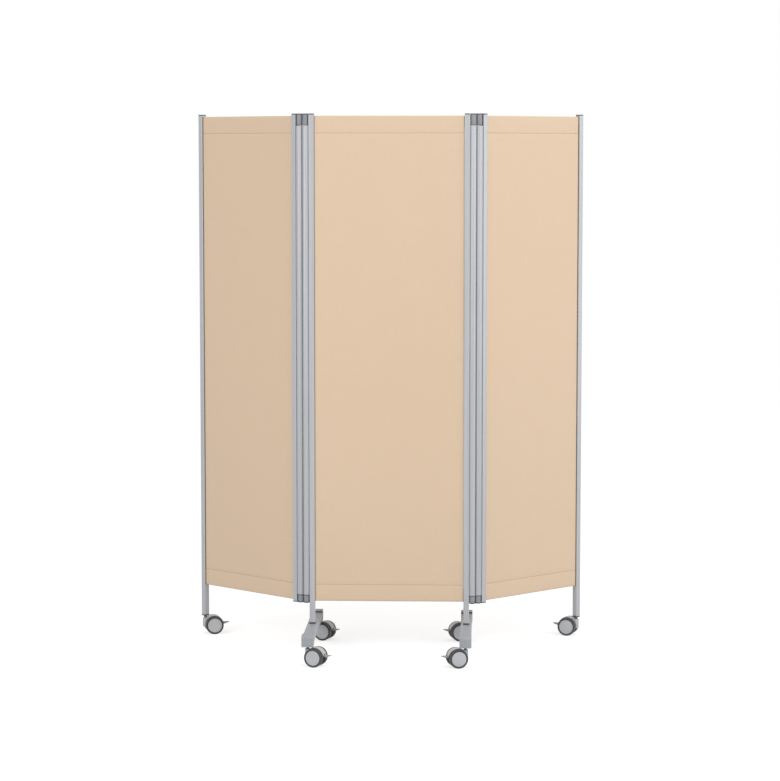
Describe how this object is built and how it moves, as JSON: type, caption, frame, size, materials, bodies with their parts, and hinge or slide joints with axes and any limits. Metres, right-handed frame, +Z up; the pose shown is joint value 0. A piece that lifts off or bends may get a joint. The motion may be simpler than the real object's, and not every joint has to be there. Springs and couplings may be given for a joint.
{
  "type": "folding privacy screen on castors",
  "caption": "Folding floor screen with stretched cloth between slim aluminium posts, double-pivot hinges, transverse feet and braked twin-wheel castors.",
  "frame": {"origin": "on the floor under the middle of the screen's bounding box with both wings folded back as pictured", "axes": "+Z up, +X to the right along the centre panel seen from the front, +Y to the back, so the front faces -Y"},
  "size_m": [1.2786, 0.6414, 1.75],
  "materials": {
    "aluminium": "natural anodised, satin",
    "steel": "zinc plated",
    "foot_paint": "silver grey powder coat",
    "hinge_plastic": "moulded grey",
    "cap_plastic": "moulded dark grey",
    "hood_plastic": "moulded light grey",
    "wheel_tyre": "soft grey tread round a light grey disc",
    "pedal_plastic": "moulded grey",
    "cloth": "plain woven, beige"
  },
  "bodies": {
    "centre_panel": {"post_centre_left": "aluminium", "post_cap_centre_left": "cap_plastic", "foot_left": "foot_paint", "foot_collar_left": "cap_plastic", "castor_stem_left_front": "steel", "castor_stem_left_rear": "steel", "post_centre_right": "aluminium", "post_cap_centre_right": "cap_plastic", "foot_right": "foot_paint", "foot_collar_right": "cap_plastic", "castor_stem_right_front": "steel", "castor_stem_right_rear": "steel", "cross_rail_top_centre": "aluminium", "cross_rail_bottom_centre": "aluminium", "cloth_centre": "cloth"},
    "left_links": {"hinge_link_top_left": "hinge_plastic", "hinge_link_bottom_left": "hinge_plastic"},
    "left_wing": {"post_inner_left": "aluminium", "post_cap_inner_left": "cap_plastic", "post_outer_left": "aluminium", "post_cap_outer_left": "cap_plastic", "cross_rail_top_left": "aluminium", "cross_rail_bottom_left": "aluminium", "cloth_left": "cloth", "castor_stem_left_outer": "steel"},
    "right_links": {"hinge_link_top_right": "hinge_plastic", "hinge_link_bottom_right": "hinge_plastic"},
    "right_wing": {"post_inner_right": "aluminium", "post_cap_inner_right": "cap_plastic", "post_outer_right": "aluminium", "post_cap_outer_right": "cap_plastic", "cross_rail_top_right": "aluminium", "cross_rail_bottom_right": "aluminium", "cloth_right": "cloth", "castor_stem_right_outer": "steel"},
    "castor_left_front": {"castor_hood_left_front": "hood_plastic"},
    "wheel_left_front_a": {"castor_wheel_left_front_a": "wheel_tyre"},
    "wheel_left_front_b": {"castor_wheel_left_front_b": "wheel_tyre"},
    "pedal_left_front": {"brake_pedal_left_front": "pedal_plastic"},
    "castor_left_rear": {"castor_hood_left_rear": "hood_plastic"},
    "wheel_left_rear_a": {"castor_wheel_left_rear_a": "wheel_tyre"},
    "wheel_left_rear_b": {"castor_wheel_left_rear_b": "wheel_tyre"},
    "pedal_left_rear": {"brake_pedal_left_rear": "pedal_plastic"},
    "castor_right_front": {"castor_hood_right_front": "hood_plastic"},
    "wheel_right_front_a": {"castor_wheel_right_front_a": "wheel_tyre"},
    "wheel_right_front_b": {"castor_wheel_right_front_b": "wheel_tyre"},
    "pedal_right_front": {"brake_pedal_right_front": "pedal_plastic"},
    "castor_right_rear": {"castor_hood_right_rear": "hood_plastic"},
    "wheel_right_rear_a": {"castor_wheel_right_rear_a": "wheel_tyre"},
    "wheel_right_rear_b": {"castor_wheel_right_rear_b": "wheel_tyre"},
    "pedal_right_rear": {"brake_pedal_right_rear": "pedal_plastic"},
    "castor_left_outer": {"castor_hood_left_outer": "hood_plastic"},
    "wheel_left_outer_a": {"castor_wheel_left_outer_a": "wheel_tyre"},
    "wheel_left_outer_b": {"castor_wheel_left_outer_b": "wheel_tyre"},
    "pedal_left_outer": {"brake_pedal_left_outer": "pedal_plastic"},
    "castor_right_outer": {"castor_hood_right_outer": "hood_plastic"},
    "wheel_right_outer_a": {"castor_wheel_right_outer_a": "wheel_tyre"},
    "wheel_right_outer_b": {"castor_wheel_right_outer_b": "wheel_tyre"},
    "pedal_right_outer": {"brake_pedal_right_outer": "pedal_plastic"}
  },
  "joints": [
    {"name": "left_fold", "type": "hinge", "parent": "centre_panel", "child": "left_links", "pos_m": [-0.26148, -0.05026, 0.9], "axis": [0, 0, 1], "range_deg": [-68.5, 109.5]},
    {"name": "left_wing_fold", "type": "hinge", "parent": "left_links", "child": "left_wing", "pos_m": [-0.28077, -0.04305, 0.9], "axis": [0, 0, 1], "range_deg": [-68.5, 109.5]},
    {"name": "right_fold", "type": "hinge", "parent": "centre_panel", "child": "right_links", "pos_m": [0.27792, -0.05026, 0.9], "axis": [0, 0, 1], "range_deg": [-111, 67]},
    {"name": "right_wing_fold", "type": "hinge", "parent": "right_links", "child": "right_wing", "pos_m": [0.29702, -0.04254, 0.9], "axis": [0, 0, 1], "range_deg": [-111, 67]},
    {"name": "left_front_swivel", "type": "hinge", "parent": "centre_panel", "child": "castor_left_front", "pos_m": [-0.24248, -0.27526, 0.05], "axis": [0, 0, 1], "continuous": true},
    {"name": "left_front_wheel_a", "type": "hinge", "parent": "castor_left_front", "child": "wheel_left_front_a", "pos_m": [-0.21599, -0.28439, 0.03], "axis": [0.3258, 0.9454, 0], "continuous": true},
    {"name": "left_front_wheel_b", "type": "hinge", "parent": "castor_left_front", "child": "wheel_left_front_b", "pos_m": [-0.21599, -0.28439, 0.03], "axis": [0.3258, 0.9454, 0], "continuous": true},
    {"name": "left_front_brake", "type": "hinge", "parent": "castor_left_front", "child": "pedal_left_front", "pos_m": [-0.19707, -0.29091, 0.036], "axis": [0.3258, 0.9454, 0], "range_deg": [0, 15]},
    {"name": "left_rear_swivel", "type": "hinge", "parent": "centre_panel", "child": "castor_left_rear", "pos_m": [-0.24248, 0.17474, 0.05], "axis": [0, 0, 1], "continuous": true},
    {"name": "left_rear_wheel_a", "type": "hinge", "parent": "castor_left_rear", "child": "wheel_left_rear_a", "pos_m": [-0.21599, 0.16561, 0.03], "axis": [0.3258, 0.9454, 0], "continuous": true},
    {"name": "left_rear_wheel_b", "type": "hinge", "parent": "castor_left_rear", "child": "wheel_left_rear_b", "pos_m": [-0.21599, 0.16561, 0.03], "axis": [0.3258, 0.9454, 0], "continuous": true},
    {"name": "left_rear_brake", "type": "hinge", "parent": "castor_left_rear", "child": "pedal_left_rear", "pos_m": [-0.19707, 0.15909, 0.036], "axis": [0.3258, 0.9454, 0], "range_deg": [0, 15]},
    {"name": "right_front_swivel", "type": "hinge", "parent": "centre_panel", "child": "castor_right_front", "pos_m": [0.25892, -0.27526, 0.05], "axis": [0, 0, 1], "continuous": true},
    {"name": "right_front_wheel_a", "type": "hinge", "parent": "castor_right_front", "child": "wheel_right_front_a", "pos_m": [0.23201, -0.28299, 0.03], "axis": [0.276, -0.9611, 0], "continuous": true},
    {"name": "right_front_wheel_b", "type": "hinge", "parent": "castor_right_front", "child": "wheel_right_front_b", "pos_m": [0.23201, -0.28299, 0.03], "axis": [0.276, -0.9611, 0], "continuous": true},
    {"name": "right_front_brake", "type": "hinge", "parent": "castor_right_front", "child": "pedal_right_front", "pos_m": [0.2128, -0.28851, 0.036], "axis": [0.276, -0.9611, 0], "range_deg": [0, 15]},
    {"name": "right_rear_swivel", "type": "hinge", "parent": "centre_panel", "child": "castor_right_rear", "pos_m": [0.25892, 0.17474, 0.05], "axis": [0, 0, 1], "continuous": true},
    {"name": "right_rear_wheel_a", "type": "hinge", "parent": "castor_right_rear", "child": "wheel_right_rear_a", "pos_m": [0.23176, 0.16796, 0.03], "axis": [0.2421, -0.9703, 0], "continuous": true},
    {"name": "right_rear_wheel_b", "type": "hinge", "parent": "castor_right_rear", "child": "wheel_right_rear_b", "pos_m": [0.23176, 0.16796, 0.03], "axis": [0.2421, -0.9703, 0], "continuous": true},
    {"name": "right_rear_brake", "type": "hinge", "parent": "castor_right_rear", "child": "pedal_right_rear", "pos_m": [0.21236, 0.16312, 0.036], "axis": [0.2421, -0.9703, 0], "range_deg": [0, 15]},
    {"name": "left_outer_swivel", "type": "hinge", "parent": "left_wing", "child": "castor_left_outer", "pos_m": [-0.62771, 0.25854, 0.05], "axis": [0, 0, 1], "continuous": true},
    {"name": "left_outer_wheel_a", "type": "hinge", "parent": "castor_left_outer", "child": "wheel_left_outer_a", "pos_m": [-0.60067, 0.2658, 0.03], "axis": [-0.259, 0.9659, 0], "continuous": true},
    {"name": "left_outer_wheel_b", "type": "hinge", "parent": "castor_left_outer", "child": "wheel_left_outer_b", "pos_m": [-0.60067, 0.2658, 0.03], "axis": [-0.259, 0.9659, 0], "continuous": true},
    {"name": "left_outer_brake", "type": "hinge", "parent": "castor_left_outer", "child": "pedal_left_outer", "pos_m": [-0.58135, 0.27098, 0.036], "axis": [-0.259, 0.9659, 0], "range_deg": [0, 15]},
    {"name": "right_outer_swivel", "type": "hinge", "parent": "right_wing", "child": "castor_right_outer", "pos_m": [0.6277, 0.27679, 0.05], "axis": [0, 0, 1], "continuous": true},
    {"name": "right_outer_wheel_a", "type": "hinge", "parent": "castor_right_outer", "child": "wheel_right_outer_a", "pos_m": [0.60093, 0.28497, 0.03], "axis": [-0.2921, -0.9564, 0], "continuous": true},
    {"name": "right_outer_wheel_b", "type": "hinge", "parent": "castor_right_outer", "child": "wheel_right_outer_b", "pos_m": [0.60093, 0.28497, 0.03], "axis": [-0.2921, -0.9564, 0], "continuous": true},
    {"name": "right_outer_brake", "type": "hinge", "parent": "castor_right_outer", "child": "pedal_right_outer", "pos_m": [0.58181, 0.29081, 0.036], "axis": [-0.2921, -0.9564, 0], "range_deg": [0, 15]}
  ],
  "couplings": [
    {"joint": "left_wing_fold", "follows": "left_fold", "ratio": 1},
    {"joint": "right_wing_fold", "follows": "right_fold", "ratio": 1}
  ]
}
